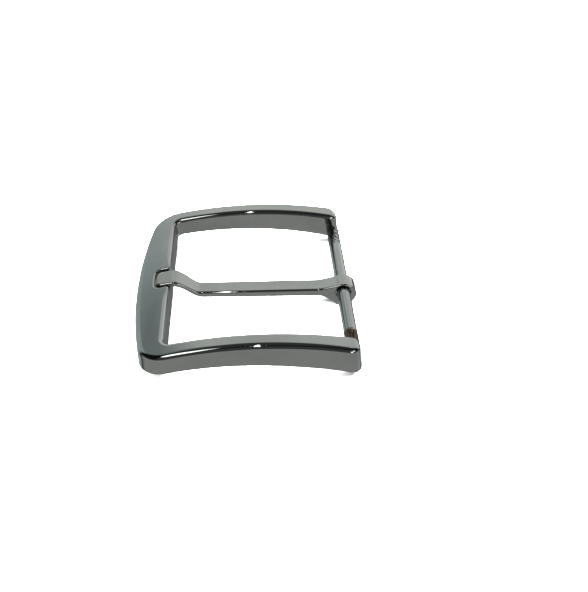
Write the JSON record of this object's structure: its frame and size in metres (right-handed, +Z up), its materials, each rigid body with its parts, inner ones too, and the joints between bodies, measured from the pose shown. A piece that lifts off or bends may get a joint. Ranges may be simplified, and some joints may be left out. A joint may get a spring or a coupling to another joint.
{
  "type": "belt buckle",
  "caption": "Belt buckle with an arched, open rectangular frame, a bowed front bar recessed for the tip, a round strap bar and a cranked prong that swings on it.",
  "frame": {"origin": "middle of the strap bar's axis, which is also the prong's hinge axis", "axes": "+Y along the strap bar, -X from the bar towards the front bar and the prong's tip, +Z up on the convex side that shows when worn"},
  "size_m": [0.0524, 0.056, 0.0116],
  "materials": {
    "plated_frame": "polished dark nickel plate",
    "plated_bar": "polished dark nickel plate, bare knurled ends",
    "plated_prong": "polished dark nickel plate"
  },
  "bodies": {
    "frame": {"frame": "plated_frame", "cross_bar": "plated_bar"},
    "prong": {"prong": "plated_prong"}
  },
  "joints": [
    {"name": "prong_hinge", "type": "hinge", "parent": "frame", "child": "prong", "pos_m": [0, 0, 0], "axis": [0, 1, 0], "range_deg": [0, 352]}
  ]
}
